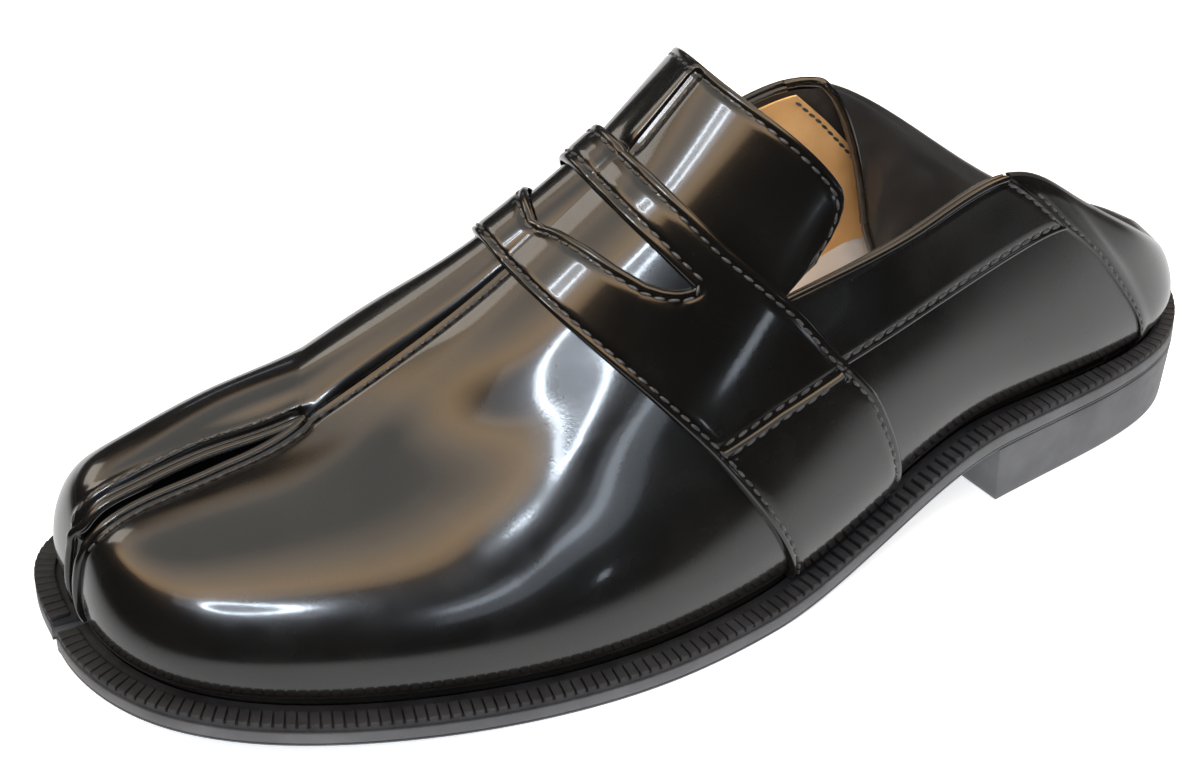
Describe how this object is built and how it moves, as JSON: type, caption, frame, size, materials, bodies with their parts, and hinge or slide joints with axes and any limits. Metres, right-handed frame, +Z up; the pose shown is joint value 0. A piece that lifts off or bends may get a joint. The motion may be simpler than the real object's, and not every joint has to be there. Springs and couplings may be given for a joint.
{
  "type": "split toe loafer",
  "caption": "Low polished leather loafer with a split toe, a slotted saddle strap, a ribbed welt and a heel panel folded in so that it wears as a mule.",
  "frame": {"origin": "centre of the plan of the sole, on the floor", "axes": "+X towards the toe, +Y towards the outer side of the foot, +Z up"},
  "size_m": [0.2992, 0.108, 0.1195],
  "materials": {
    "polished_leather": "high gloss",
    "black_rubber": "satin",
    "pale_footbed": "matt"
  },
  "bodies": {
    "root": {"outsole": "black_rubber", "heel": "black_rubber", "welt": "black_rubber", "insole": "pale_footbed", "upper": "polished_leather", "saddle_strap": "polished_leather", "quarter_band_lateral": "polished_leather", "quarter_band_medial": "polished_leather"}
  },
  "joints": []
}
